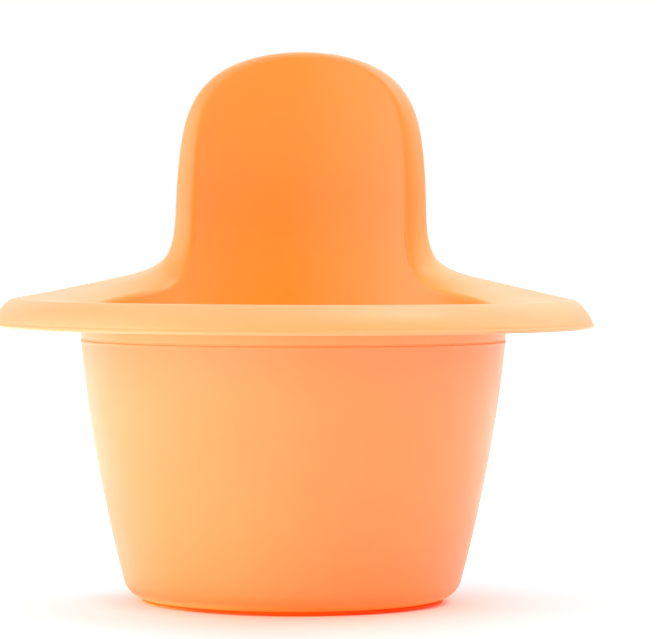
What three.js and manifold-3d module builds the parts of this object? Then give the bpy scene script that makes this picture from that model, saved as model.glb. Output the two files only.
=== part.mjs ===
// Deep round bowl on a soft suction foot, with a wide lift-off brim that rises
// at the back into an upright splash guard.
//
// Frame: millimetres. The origin is the centre of the foot on the table plane,
// +Z is up along the bowl's axis, +Y points to the splash guard at the back,
// and -Y is the front of the brim.
//
// In names, _R is a radius, _Z a height above the table, _T a thickness.

import * as THREE from 'three';
import { mergeVertices } from 'three/addons/utils/BufferGeometryUtils.js';
import Module from 'manifold-3d';

const DEG = Math.PI / 180;

// ------------------------------------------------------------------- helpers

// A turned solid about +Z from a list of [r, z] points. The outline runs
// outwards under the piece, up its outside, and back down its inside.
function turned(points, segments) {
  const outline = points.map(([r, z]) => new THREE.Vector2(r, z));
  const geometry = new THREE.LatheGeometry(outline, segments);
  geometry.rotateX(Math.PI / 2);
  return geometry;
}

const closed = (points) => [...points, points[0]];

// A flat plate with the given [x, y] outline, standing on the height bottomZ.
function slab(outline, { bottomZ, thick, bevel = 0 }) {
  const shape = new THREE.Shape(outline.map(([x, y]) => new THREE.Vector2(x, y)));
  const geometry = new THREE.ExtrudeGeometry(shape, {
    depth: thick - 2 * bevel,
    bevelEnabled: bevel > 0,
    bevelSize: bevel,
    bevelOffset: -bevel,
    bevelThickness: bevel,
    bevelSegments: 1,
    steps: 1,
  });
  geometry.translate(0, 0, bottomZ + bevel);
  return geometry;
}

// The point at a radius, an angle in degrees from the back (+Y, positive
// towards -X) and a height.
const polar = (radius, angle, z) =>
  new THREE.Vector3(-radius * Math.sin(angle * DEG), radius * Math.cos(angle * DEG), z);

const wasm = await Module();
wasm.setup();

function toSolid(geometry) {
  geometry.deleteAttribute('normal');
  geometry.deleteAttribute('uv');
  const merged = mergeVertices(geometry, 1e-4);
  return new wasm.Manifold(new wasm.Mesh({
    numProp: 3,
    vertProperties: new Float32Array(merged.attributes.position.array),
    triVerts: new Uint32Array(merged.index.array),
  }));
}

function meshGeometry(position, index) {
  const geometry = new THREE.BufferGeometry();
  geometry.setAttribute('position', new THREE.BufferAttribute(position, 3));
  geometry.setIndex(index);
  geometry.computeVertexNormals();
  return geometry;
}

function toGeometry(solid) {
  const mesh = solid.getMesh();
  return meshGeometry(
    new Float32Array(mesh.vertProperties),
    new THREE.BufferAttribute(new Uint32Array(mesh.triVerts), 1),
  );
}

// ------------------------------------------------------------------ the bowl

const BOWL_SEG = 56;            // facets round the bowl and the soft ring
const CURVE_STEPS = 4;          // steps along each curve of the bowl's section

const WALL = 2.45;              // wall of the bowl, measured level
const FOOT_Z = 1.2;             // underside of the foot ring
const CORNER_R = 10;            // outer radius where the wall turns under
const CORNER_CENTRE_R = 57.84;  // radius of the corner arc's centre circle
const CORNER_END = 14.8;        // draft of the wall where the corner meets it, degrees
const WALL_STATIONS = [20, 34, 50, 67, 84];

const RIM_Z = 104.0;            // top of the bowl's rim
const RIM_EDGE_OUT = 0.3;       // level width of the rim's outer bevel
const RIM_EDGE_IN = 0.2;        // level width of its inner bevel
const RIM_EDGE_DROP = 0.4;      // height of its inner bevel

const BEAD_Z = 102.75;          // middle of the bead under the rim
const BEAD_H = 1.9;
const BEAD_OUT = 0.35;          // how far the bead stands proud

const FLOOR_Z = 11.2;           // raised middle of the inside floor
const CEIL_Z = 8.6;             // ceiling of the recess over the suction pad
const PUNT_IN_R = 42;           // the raised middle falls from here ...
const PUNT_OUT_R = 54;          // ... to here, where the foot ring starts
const PUNT_SHIFT = 0.6;         // the floor's fall lies this much further out

const BOSS_R = 9;               // boss that holds the push plug
const BOSS_Z = 6.2;             // its lower face
const SOCKET_R = 3.2;           // blind socket in the boss
const SOCKET_TOP_Z = 9.4;

// outer radius of the bowl's wall, a shallow barrel curve about one height
const BARREL = { z: 58.8, radius: 78.65, slope: 0.178, bend: 0.00088 };

function bowlR(z) {
  const rise = z - BARREL.z;
  return BARREL.radius + BARREL.slope * rise - BARREL.bend * rise ** 2;
}

// the turn between foot and wall, at the given radius, from angle to angle
function cornerArc(radius, from, to) {
  const points = [];
  for (let i = 0; i <= CURVE_STEPS; i++) {
    const angle = (from + (to - from) * (i / CURVE_STEPS)) * DEG;
    points.push([
      CORNER_CENTRE_R + radius * Math.cos(angle),
      FOOT_Z + CORNER_R + radius * Math.sin(angle),
    ]);
  }
  return points;
}

// a soft S-shaped slope from one [r, z] point to another
function slope([startR, startZ], [endR, endZ]) {
  const points = [];
  for (let i = 0; i <= CURVE_STEPS; i++) {
    const t = i / CURVE_STEPS;
    const eased = t * t * (3 - 2 * t);
    points.push([startR + (endR - startR) * t, startZ + (endZ - startZ) * eased]);
  }
  return points;
}

function bowlGeometry() {
  const boss = [
    [0, SOCKET_TOP_Z], [SOCKET_R, SOCKET_TOP_Z], [SOCKET_R, BOSS_Z], [BOSS_R, BOSS_Z],
    [BOSS_R + 0.9, CEIL_Z - 0.8], [BOSS_R + 1.9, CEIL_Z],
  ];
  const beadLow = BEAD_Z - BEAD_H / 2;
  const beadTop = BEAD_Z + BEAD_H / 2 - 0.2;
  const bead = [
    [bowlR(beadLow), beadLow],
    [bowlR(BEAD_Z - 0.4) + BEAD_OUT, BEAD_Z - 0.4],
    [bowlR(BEAD_Z + 0.3) + BEAD_OUT, BEAD_Z + 0.3],
    [bowlR(beadTop), beadTop],
  ];
  const rim = [
    [bowlR(RIM_Z) - RIM_EDGE_OUT, RIM_Z],
    [bowlR(RIM_Z) - WALL + RIM_EDGE_IN, RIM_Z],
  ];
  const innerStations = [RIM_Z - RIM_EDGE_DROP, ...WALL_STATIONS.toReversed()];
  return turned([
    ...boss,
    ...slope([PUNT_IN_R, CEIL_Z], [PUNT_OUT_R, FOOT_Z]),
    ...cornerArc(CORNER_R, -90, -CORNER_END),
    ...WALL_STATIONS.map((z) => [bowlR(z), z]),
    ...bead,
    ...rim,
    ...innerStations.map((z) => [bowlR(z) - WALL, z]),
    ...cornerArc(CORNER_R - WALL, -CORNER_END, -90),
    ...slope([PUNT_OUT_R + PUNT_SHIFT, FOOT_Z + WALL], [PUNT_IN_R + PUNT_SHIFT, FLOOR_Z]),
    [0, FLOOR_Z],
  ], BOWL_SEG);
}

// ---------------------------- the soft ring in the joint of bowl and brim

const SEAL_OUT_R = 84.8;
const SEAL_IN_R = 80.95;
const SEAL_LOW_Z = RIM_Z + 0.15;
const SEAL_TOP_Z = RIM_Z + 0.85;
const SEAL_LEG_Z = 99.2;        // lower end of the leg inside the bowl
const SEAL_GAP = 0.32;          // between the leg and the bowl's wall

function sealGeometry() {
  const legR = (z) => bowlR(z) - WALL - SEAL_GAP;
  return turned(closed([
    [SEAL_IN_R, SEAL_LEG_Z], [legR(SEAL_LEG_Z), SEAL_LEG_Z], [legR(RIM_Z), RIM_Z - 0.1],
    [legR(RIM_Z), SEAL_LOW_Z], [SEAL_OUT_R, SEAL_LOW_Z],
    [SEAL_OUT_R, SEAL_TOP_Z], [SEAL_IN_R, SEAL_TOP_Z],
  ]), BOWL_SEG);
}

// -------------------------------------------------- brim and splash guard

const SKIN = 2.3;               // wall of the brim and the guard
const LIP_OUT = SKIN * 0.42;    // how far the middle of the free edge stands out
const LEAN = 0.1944;            // outward lean of the inner wall, mm per mm
const LEAN_R = 78.4;            // radius of the leaning cone ...
const LEAN_Z = 96.0;            // ... at this height
const CONE_Z = 112.0;           // the leaning cone starts here
const SPIGOT_OUT_R = 80.6;      // the skirt that enters the bowl
const SPIGOT_IN_R = 78.5;
const SPIGOT_Z = 96.0;          // its lower end
const SPIGOT_BEVEL_R = 0.5;     // bevels on its lower edges
const SPIGOT_BEVEL_H = 0.6;
const COLLAR_R = 85.0;          // collar over the seam
const COLLAR_LOW_Z = RIM_Z + 1.0;
const COLLAR_TOP_Z = 110.4;
const COLLAR_BEVEL = 0.3;
const STEP_STATIONS = [RIM_Z, 106, 108, 110]; // heights on the inner step

// The brim's section changes on its way round. Each row below is one control
// point of a closed cubic B-spline, from the front to the back; the other side
// is its mirror image. angle is measured from the back (+Y) and z is the height
// where the section leaves the inner wall. From there the section turns through
// a small ridge (RIDGE_R, up to the heading ridgeH), a broad band (bandR,
// bandH), runs straight (run), rolls over a crest (crestR, crestH) and ends in
// a drooping skirt of length droop at the heading droopH. Headings are in
// degrees from "away from the opening" towards "outwards". back is 0 where
// outwards means radially and 1 where it means straight to the back.
const RIDGE_R = 3.2;
const FRONT = [114.5, 68, 46, 87, 12.9, 2.2, 126, 12.1, 163, 0];
const RIM_TABLE = [
  ...[180, 160, 140, 120, 100].map((angle) => [angle, ...FRONT]),
  // angle, z, ridgeH, bandR, bandH, run, crestR, crestH, droop, droopH, back
  [84.0, 114.5, 68, 46, 87, 13.2, 2.2, 126, 11.9, 163, 0],
  [70.0, 116.9, 74, 46, 87, 16.0, 2.2, 126, 11.5, 163, 0],
  [58.0, 118.9, 71, 43, 87, 13.3, 2.2, 126, 11.0, 162, 0],
  [48.0, 120.7, 62, 34, 88, 8.3, 2.3, 126, 10.2, 161, 0.15],
  [40.0, 122.4, 47, 23, 89, 4.2, 2.5, 127, 8.8, 160, 0.45],
  [34.2, 127.6, 29, 15.5, 84, 3.4, 2.8, 128, 7.2, 158, 0.75],
  [31.3, 136.8, 25, 12.6, 89, 2.2, 3.0, 130, 5.6, 157, 0.95],
  [29.5, 147.6, 23, 11.4, 90, 1.8, 3.0, 132, 4.6, 156, 1],
  [28.6, 160.0, 22, 11.0, 90, 1.6, 3.0, 134, 4.0, 156, 1],
  [27.6, 172.0, 22, 10.8, 90, 1.6, 3.0, 135, 3.6, 156, 1],
  [26.4, 184.0, 24, 10.6, 90, 1.8, 3.0, 136, 3.4, 156, 1],
  [24.8, 196.0, 28, 10.2, 90, 2.2, 3.0, 138, 3.2, 156, 1],
  [21.6, 206.5, 36, 9.6, 90, 3.0, 3.2, 139, 3.0, 157, 1],
  [16.8, 214.0, 48, 9.0, 91, 4.4, 3.4, 140, 3.0, 158, 1],
  [10.5, 219.0, 60, 8.6, 92, 6.6, 3.6, 140, 3.0, 159, 1],
  [3.4, 221.3, 66, 8.2, 93, 7.9, 3.8, 140, 3.0, 160, 1],
];

const SECTIONS = 76;            // sections round the brim
const SPAN_STEPS = 24;          // fine steps per span of the B-spline
const BEND_WEIGHT = 16;         // extra length counted per radian of bend
const NECK_ANGLE = 50;          // the guard's sections lie within this angle
const CONE_STEPS = 3;           // steps up the leaning wall
const ARC_STEPS = { ridge: 2, band: 4, crest: 2, droop: 3 };

// inner radius of the brim's wall at height z: a short cylinder in the bowl,
// a soft step out over the rim, then the leaning cone
function guardInnerR(z) {
  const coneR = (height) => LEAN_R + LEAN * (height - LEAN_Z);
  if (z >= CONE_Z) return coneR(z);
  if (z <= RIM_Z) return SPIGOT_IN_R;
  const rise = CONE_Z - RIM_Z;
  const t = (z - RIM_Z) / rise;
  return (2 * t ** 3 - 3 * t ** 2 + 1) * SPIGOT_IN_R
    + (-2 * t ** 3 + 3 * t ** 2) * coneR(CONE_Z)
    + (t ** 3 - t ** 2) * rise * LEAN;
}

const onWall = (angle, z, out = 0) => polar(guardInnerR(z) + out, angle, z);

// the row with its angle written within half a turn of a reference angle
function angleNear([angle, ...rest], reference) {
  let near = angle;
  while (near - reference > 180) near -= 360;
  while (near - reference < -180) near += 360;
  return [near, ...rest];
}

// the closed B-spline through the rim table and its mirror image
function rimCurve() {
  const mirrored = RIM_TABLE.slice(1).reverse().map(([angle, ...rest]) => [-angle, ...rest]);
  const controls = [...RIM_TABLE, ...mirrored];
  const count = controls.length;
  const curve = [];
  for (let i = 0; i < count; i++) {
    const span = [-1, 0, 1, 2].map((k) =>
      angleNear(controls[(i + k + count) % count], controls[i][0]));
    for (let step = 0; step < SPAN_STEPS; step++) {
      const t = step / SPAN_STEPS;
      const weights = [
        (1 - t) ** 3,
        3 * t ** 3 - 6 * t ** 2 + 4,
        -3 * t ** 3 + 3 * t ** 2 + 3 * t + 1,
        t ** 3,
      ].map((weight) => weight / 6);
      curve.push(span[0].map((_, column) =>
        weights.reduce((sum, weight, k) => sum + weight * span[k][column], 0)));
    }
  }
  return curve;
}

// samples of that curve, spaced by length and closer together where it bends
function rimSamples() {
  const curve = rimCurve();
  const count = curve.length;
  const points = curve.map(([angle, z]) => onWall(angle, z));
  const next = (list, i) => list[(i + 1) % count];
  const dirs = points.map((point, i) => next(points, i).clone().sub(point).normalize());
  const travel = [0];
  for (let i = 0; i < count; i++) {
    const length = next(points, i).distanceTo(points[i]);
    travel.push(travel[i] + length + BEND_WEIGHT * dirs[i].angleTo(next(dirs, i)));
  }
  const samples = [];
  let at = 0;
  for (let k = 0; k < SECTIONS; k++) {
    const target = (k / SECTIONS) * travel[count];
    while (travel[at + 1] < target) at++;
    const part = (target - travel[at]) / (travel[at + 1] - travel[at]);
    const from = curve[at];
    const to = angleNear(next(curve, at), from[0]);
    samples.push(from.map((value, column) => value + (to[column] - value) * part));
  }
  return samples;
}

// angle of each section's foot on the level CONE_Z: straight below on the
// brim, and spread evenly along the outline from the neck over the guard
function footAngles(samples, points) {
  const feet = samples.map(([angle]) => angle);
  const top = onWall(0, RIM_TABLE.at(-1)[1]);
  for (const side of [1, -1]) {
    // walk from the neck to the top of the guard
    const order = [...samples.keys()].filter((i) =>
      side * samples[i][0] >= 0 && Math.abs(samples[i][0]) < NECK_ANGLE);
    if (side < 0) order.reverse();
    const travel = [0];
    for (let k = 1; k < order.length; k++) {
      travel.push(travel[k - 1] + points[order[k]].distanceTo(points[order[k - 1]]));
    }
    const total = travel.at(-1) + points[order.at(-1)].distanceTo(top);
    const start = Math.abs(samples[order[0]][0]);
    order.forEach((i, k) => {
      feet[i] = side * start * (1 - travel[k] / total);
    });
  }
  return feet;
}

// the section's part beyond the wall: over the top, round the free edge and
// back along the underside
function overhang(sample, start, tangent) {
  const [angle, , ridgeH, bandR, bandH, run, crestR, crestH, droop, droopH, back] = sample;

  // away points from the opening, out to the outside; both lie in the section
  const radial = polar(1, angle, 0);
  const wallNormal = radial.clone().setZ(-LEAN).normalize();
  const upWall = tangent.clone().cross(wallNormal).normalize();
  const out = radial.clone().multiplyScalar(1 - back)
    .addScaledVector(new THREE.Vector3(0, 1, 0), back)
    .normalize();
  const away = upWall.clone().addScaledVector(out, -upWall.dot(out)).normalize();
  const moved = (point, byAway, byOut) =>
    point.clone().addScaledVector(away, byAway).addScaledVector(out, byOut);

  const top = [];
  const under = [];
  let point = start;
  const put = (heading) => {
    top.push(point);
    under.push(moved(point, -SKIN * Math.sin(heading), SKIN * Math.cos(heading)));
  };
  const arc = (radius, from, to, steps) => {
    const arcStart = point;
    for (let k = 1; k <= steps; k++) {
      const heading = from + (to - from) * (k / steps);
      point = moved(
        arcStart,
        radius * (Math.sin(heading) - Math.sin(from)),
        radius * (Math.cos(from) - Math.cos(heading)),
      );
      put(heading);
    }
  };

  const wallHeading = Math.atan2(-away.dot(wallNormal), out.dot(wallNormal));
  const [ridge, band, crest, end] = [ridgeH, bandH, crestH, droopH].map((h) => h * DEG);
  put(wallHeading);
  arc(RIDGE_R, wallHeading, ridge, ARC_STEPS.ridge);
  arc(bandR, ridge, band, ARC_STEPS.band);
  point = moved(point, run * Math.cos(band), run * Math.sin(band));
  put(band);
  arc(crestR, band, crest, ARC_STEPS.crest);
  arc(droop / (end - crest), crest, end, ARC_STEPS.droop);

  const edgeMiddle = top.at(-1).clone().lerp(under.at(-1), 0.5);
  const lip = moved(edgeMiddle, LIP_OUT * Math.cos(end), LIP_OUT * Math.sin(end));
  return [...top, lip, ...under.reverse()];
}

// one closed section, up the inside, over the brim and down the outside
function sectionRing(sample, foot, start, tangent) {
  const [angle, z] = sample;
  const atFoot = ([radius, height]) => polar(radius, foot, height);
  const coneWall = (out) => Array.from({ length: CONE_STEPS }, (_, k) => {
    const part = k / CONE_STEPS;
    return onWall(foot + (angle - foot) * part, CONE_Z + (z - CONE_Z) * part, out);
  });
  const inside = [
    [SPIGOT_IN_R + SPIGOT_BEVEL_R, SPIGOT_Z], [SPIGOT_IN_R, SPIGOT_Z + SPIGOT_BEVEL_H],
  ];
  const outside = [
    [COLLAR_R, COLLAR_TOP_Z], [COLLAR_R, COLLAR_LOW_Z + COLLAR_BEVEL],
    [COLLAR_R - COLLAR_BEVEL, COLLAR_LOW_Z], [SPIGOT_OUT_R, COLLAR_LOW_Z],
    [SPIGOT_OUT_R, SPIGOT_Z + SPIGOT_BEVEL_H], [SPIGOT_OUT_R - SPIGOT_BEVEL_R, SPIGOT_Z],
  ];
  return [
    ...inside.map(atFoot),
    ...STEP_STATIONS.map((height) => onWall(foot, height)),
    ...coneWall(0),
    ...overhang(sample, start, tangent),
    ...coneWall(SKIN).reverse(),
    ...outside.map(atFoot),
  ];
}

function guardGeometry() {
  const samples = rimSamples();
  const points = samples.map(([angle, z]) => onWall(angle, z));
  const feet = footAngles(samples, points);
  const rings = samples.map((sample, i) => {
    const before = points[(i + SECTIONS - 1) % SECTIONS];
    const tangent = points[(i + 1) % SECTIONS].clone().sub(before).normalize();
    return sectionRing(sample, feet[i], points[i], tangent);
  });

  const size = rings[0].length;
  const position = new Float32Array(SECTIONS * size * 3);
  rings.flat().forEach((vertex, i) => vertex.toArray(position, i * 3));
  const index = [];
  for (let i = 0; i < SECTIONS; i++) {
    const row = i * size;
    const nextRow = ((i + 1) % SECTIONS) * size;
    for (let k = 0; k < size; k++) {
      const nextK = (k + 1) % size;
      index.push(row + k, nextRow + nextK, row + nextK);
      index.push(row + k, nextRow + k, nextRow + nextK);
    }
  }
  return meshGeometry(position, index);
}

// ---------------------------------------- suction pad, release tab and plug

const PAD_SEG = 40;
const PAD_R = 59.9;
const PAD_EDGE = 0.7;           // thickness of the sealing lip
const PAD_FLAT_R = 50;          // the flat of the lip runs from here outwards
const PAD_WEB_LOW_Z = 3.45;
const PAD_WEB_TOP_Z = 4.95;
const PAD_HOLE_R = 3.4;

const LOBE_W = 22;              // width of the pad's lobe and of the tab
const LOBE_T = 0.45;
const LOBE_ROOT_Y = 54;         // the lobe starts here, wider by the flare ...
const LOBE_FLARE = 3;           // ... on each side
const LOBE_NECK_Y = 58.5;       // full flare is gone here
const LOBE_END_Y = 61.7;

const TAB_START_Y = 62.3;
const TAB_END_Y = 76.0;
const TAB_Z = 0.25;             // underside of the tab and the lobe
const TAB_T = 1.1;
const TAB_BEVEL = 0.2;
const TIP_L = 7.5;              // length of the tab's rounded tip
const TIP_WIDTH = 0.96;         // width of the tip as a share of the tab's
const TIP_STEPS = 12;

// raised grip ribs across the tab, each shorter than the one before
const RIBS = {
  count: 3, firstY: 67.6, pitch: 2.6, width: 1, height: 0.75, sunk: 0.3,
  firstHalf: 8.6,               // half length of the first rib
  taper: 0.55,                  // half length lost per mm of Y
};

const PLUG_SEG = 24;
const PLUG_HEAD_R = 7.5;
const PLUG_HEAD_LOW_Z = 1.7;
const PLUG_HEAD_TOP_Z = 3.2;
const PLUG_STEM_R = 3.0;
const PLUG_TOP_Z = 9.2;

function padGeometry() {
  const disc = turned(closed([
    // underside, outwards
    [PAD_HOLE_R, PAD_WEB_LOW_Z], [14, PAD_WEB_LOW_Z], [22, 3.1], [32, 2.45], [40, 1.55],
    [46, 0.6], [PAD_FLAT_R, 0], [PAD_R - 0.2, 0],
    // rounded edge
    [PAD_R, 0.25], [PAD_R - 0.25, PAD_EDGE - 0.15], [PAD_R - 1.2, PAD_EDGE],
    // upper side, inwards
    [52, PAD_EDGE + 0.05], [47, 1.7], [40, 3.1], [30, 4.15], [20, 4.8],
    [12, PAD_WEB_TOP_Z], [PAD_HOLE_R, PAD_WEB_TOP_Z],
  ]), PAD_SEG);
  const half = LOBE_W / 2;
  const root = half + LOBE_FLARE;
  const lobe = slab([
    [-root, LOBE_ROOT_Y], [root, LOBE_ROOT_Y], [half, LOBE_NECK_Y],
    [half, LOBE_END_Y], [-half, LOBE_END_Y], [-half, LOBE_NECK_Y],
  ], { bottomZ: TAB_Z, thick: LOBE_T });
  return toGeometry(toSolid(disc).add(toSolid(lobe)));
}

function ribSolid(y) {
  const half = RIBS.firstHalf - (y - RIBS.firstY) * RIBS.taper;
  const low = y - RIBS.width / 2;
  const high = y + RIBS.width / 2;
  return toSolid(slab(
    [[-half, low], [half, low], [half, high], [-half, high]],
    { bottomZ: TAB_Z + TAB_T - RIBS.sunk, thick: RIBS.height },
  ));
}

function tabGeometry() {
  const half = LOBE_W / 2;
  const tip = [];
  for (let i = 0; i <= TIP_STEPS; i++) {
    const angle = Math.PI * (i / TIP_STEPS);
    tip.push([
      half * Math.cos(angle) * TIP_WIDTH,
      TAB_END_Y - TIP_L + TIP_L * Math.sin(angle),
    ]);
  }
  let solid = toSolid(slab(
    [[-half, TAB_START_Y], [half, TAB_START_Y], ...tip],
    { bottomZ: TAB_Z, thick: TAB_T, bevel: TAB_BEVEL },
  ));
  for (let i = 0; i < RIBS.count; i++) {
    solid = solid.add(ribSolid(RIBS.firstY + i * RIBS.pitch));
  }
  return toGeometry(solid);
}

function plugGeometry() {
  return turned([
    [0, PLUG_HEAD_LOW_Z], [PLUG_HEAD_R - 0.7, PLUG_HEAD_LOW_Z],
    [PLUG_HEAD_R, PLUG_HEAD_LOW_Z + 0.6], [PLUG_HEAD_R, PLUG_HEAD_TOP_Z - 0.2],
    [PLUG_HEAD_R - 0.2, PLUG_HEAD_TOP_Z], [PLUG_STEM_R, PLUG_HEAD_TOP_Z],
    [PLUG_STEM_R, PLUG_TOP_Z - 0.8], [PLUG_STEM_R - 0.6, PLUG_TOP_Z], [0, PLUG_TOP_Z],
  ], PLUG_SEG);
}

// ---------------------------------------------------------------- the object

const FINISHES = {
  bowl: { color: 0xffa66c, roughness: 0.42 },
  guard: { color: 0xff9a4c, roughness: 0.42 },
  seal: { color: 0xf08a45, roughness: 0.6 },
  pad: { color: 0xe85a1c, roughness: 0.55 },
  plug: { color: 0xff9a5c, roughness: 0.45 },
};

function piece(name, geometry, finish) {
  const material = new THREE.MeshStandardMaterial({ ...finish, metalness: 0 });
  const mesh = new THREE.Mesh(geometry, material);
  mesh.name = name;
  return mesh;
}

const suctionFoot = new THREE.Group();
suctionFoot.add(
  piece('suction_pad', padGeometry(), FINISHES.pad),
  piece('release_tab', tabGeometry(), FINISHES.pad),
  piece('pad_plug', plugGeometry(), FINISHES.plug),
);

const object = new THREE.Group();
object.add(
  piece('bowl_shell', bowlGeometry(), FINISHES.bowl),
  piece('guard_rim', guardGeometry(), FINISHES.guard),
  piece('rim_seal', sealGeometry(), FINISHES.seal),
  suctionFoot,
);

export default object;
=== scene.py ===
# A round bowl on a suction pad, with a brim that rises into a tall splash guard.
# The axis is +Z and the pad stands on z = 0. The camera looks from the front, -Y;
# the guard and the pad's release tab are at the back, +Y. Left is -X.
# Shapes are worked out in mm and stored in metres; materials and stage are in metres.
import bpy
import math
import numpy as np
from mathutils import Matrix


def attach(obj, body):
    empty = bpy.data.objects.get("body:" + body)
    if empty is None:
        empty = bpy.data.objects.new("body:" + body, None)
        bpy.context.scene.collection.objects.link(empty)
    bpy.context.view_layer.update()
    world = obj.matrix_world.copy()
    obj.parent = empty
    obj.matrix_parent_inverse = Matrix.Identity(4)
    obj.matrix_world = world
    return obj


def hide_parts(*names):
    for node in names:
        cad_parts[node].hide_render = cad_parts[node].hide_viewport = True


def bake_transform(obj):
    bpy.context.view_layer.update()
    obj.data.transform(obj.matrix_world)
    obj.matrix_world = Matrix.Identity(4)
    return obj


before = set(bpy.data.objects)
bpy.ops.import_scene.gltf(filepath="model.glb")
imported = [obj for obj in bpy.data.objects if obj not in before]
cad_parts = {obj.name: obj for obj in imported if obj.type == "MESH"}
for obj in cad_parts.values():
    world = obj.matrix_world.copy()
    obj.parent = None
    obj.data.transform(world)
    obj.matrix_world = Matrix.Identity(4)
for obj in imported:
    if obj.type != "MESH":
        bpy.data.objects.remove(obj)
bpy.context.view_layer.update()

DEG = math.pi / 180.0
MM = 0.001

# ------------------------------------------------------------ sizes, in mm
# bowl: outer wall radius as a parabola about MID_Z
MID_Z, MID_R, WALL_SLOPE, WALL_CURVE = 58.8, 78.65, 0.178, 0.00088
WALL = 2.45
FOOT_Z = 1.2
CORNER_R, CORNER_CENTRE_R = 10.0, 57.84
CORNER_Z = FOOT_Z + CORNER_R
CORNER_END = 14.8             # degrees below level where the corner meets the wall
RIM_Z = 104.0
RIM_TOP = RIM_Z + 0.38
RIM_EDGE_Z = RIM_Z - 0.1
FLARE_Z, FLARE_OUT, FLARE_H = 102.8, 0.15, 0.9
FLOOR_Z, CEIL_Z = 11.2, 8.6   # top and underside of the raised bottom
PUNT_R0, PUNT_R1 = 42.0, 54.0
BOSS_R, BOSS_Z = 9.0, 6.2
SOCKET_R, SOCKET_TOP = 3.2, 9.4
PIN_GAP = 0.2

# guard: the inner cone, the skirt that plugs into the bowl and the collar over the rim
SKIN = 2.3
LEAN, LEAN_R0, LEAN_Z0 = 0.1944, 78.4, 96.0
PLUG_OUT, PLUG_IN, PLUG_Z = 80.6, 78.5, 96.0
COLLAR_R, COLLAR_Z0, COLLAR_Z1, CONE_Z = 85.0, 105.0, 110.4, 112.0
LIP_T, LIP_START_T, LIP_LENGTH = 1.7, 1.85, 1.6

# seal between the bowl's rim and the collar
SEAL_IN, SEAL_OUT = 80.95, COLLAR_R - 0.06
SEAL_Z0, SEAL_Z1, SEAL_LEG_Z = RIM_TOP + 0.04, COLLAR_Z0 - 0.03, 99.2
SEAL_GAP = 0.32

# suction pad and tab
PAD_R, PAD_HOLE_R, PAD_EDGE_R, BORE_EDGE_R = 60.2, 3.4, 0.34, 0.35
PAD_CORE_R = 55.0             # rings are circular up to here
TAB_HALF, TAB_END, TAB_TIP, TAB_FILLET = 22.0 / 2, 76.0, 7.5, 3.0

TURNS, PLUG_TURNS, GUARD_SECTIONS = 240, 72, 400


def bowl_r(z):
    return MID_R + WALL_SLOPE * (z - MID_Z) - WALL_CURVE * (z - MID_Z) ** 2


# ------------------------------------------------------------ mesh helpers
def place(name, data):
    ob = bpy.data.objects.new(name, data)
    bpy.context.scene.collection.objects.link(ob)
    return ob


def turn_outward(mesh):
    """Flips the faces if the signed volume is negative."""
    co = np.zeros(len(mesh.vertices) * 3)
    mesh.vertices.foreach_get("co", co)
    co = co.reshape(-1, 3)
    mesh.calc_loop_triangles()
    tri = np.zeros(len(mesh.loop_triangles) * 3, dtype=np.int64)
    mesh.loop_triangles.foreach_get("vertices", tri)
    a, b, c = (co[corner] for corner in tri.reshape(-1, 3).T)
    if np.einsum("ij,ij->i", a, np.cross(b, c)).sum() < 0:
        mesh.flip_normals()


def solid(name, verts, faces):
    """A smooth closed mesh object; verts are in mm."""
    mesh = bpy.data.meshes.new(name)
    mesh.from_pydata((verts * MM).tolist(), [], faces)
    mesh.update()
    mesh.validate()
    mesh.polygons.foreach_set("use_smooth", [True] * len(mesh.polygons))
    turn_outward(mesh)
    return place(name, mesh)


def quads(n, m, closed=True):
    """Faces between n sections of m points, the sections closed on themselves or open."""
    i = np.arange(n)[:, None]
    k = np.arange(m if closed else m - 1)[None, :]
    i2, k2 = (i + 1) % n, (k + 1) % m
    corners = [i * m + k, i2 * m + k, i2 * m + k2, i * m + k2]
    return np.stack(corners, -1).reshape(-1, 4).tolist()


def ring_mesh(name, sections):
    """sections is (n, m, 3): n sections round the piece, each a closed loop of m points."""
    n, m = sections.shape[:2]
    return solid(name, sections.reshape(-1, 3), quads(n, m))


def lathe(name, profile, n):
    """profile holds (r, z), closed on itself or with both ends on the axis."""
    profile = np.asarray(profile, float)
    capped = profile[0, 0] < 1e-6
    body = profile[1:-1] if capped else profile
    m = len(body)
    turn = (np.arange(n) / n * 2 * math.pi)[:, None]
    r, z = body.T
    verts = np.stack([r * np.cos(turn), r * np.sin(turn), np.broadcast_to(z, (n, m))], -1)
    verts = verts.reshape(-1, 3)
    faces = quads(n, m, closed=not capped)
    if capped:
        verts = np.vstack([verts, [0, 0, profile[0, 1]], [0, 0, profile[-1, 1]]])
        first, last = n * m, n * m + 1
        faces += [[first, ((j + 1) % n) * m, j * m] for j in range(n)]
        faces += [[last, j * m + m - 1, ((j + 1) % n) * m + m - 1] for j in range(n)]
    return solid(name, verts, faces)


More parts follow.
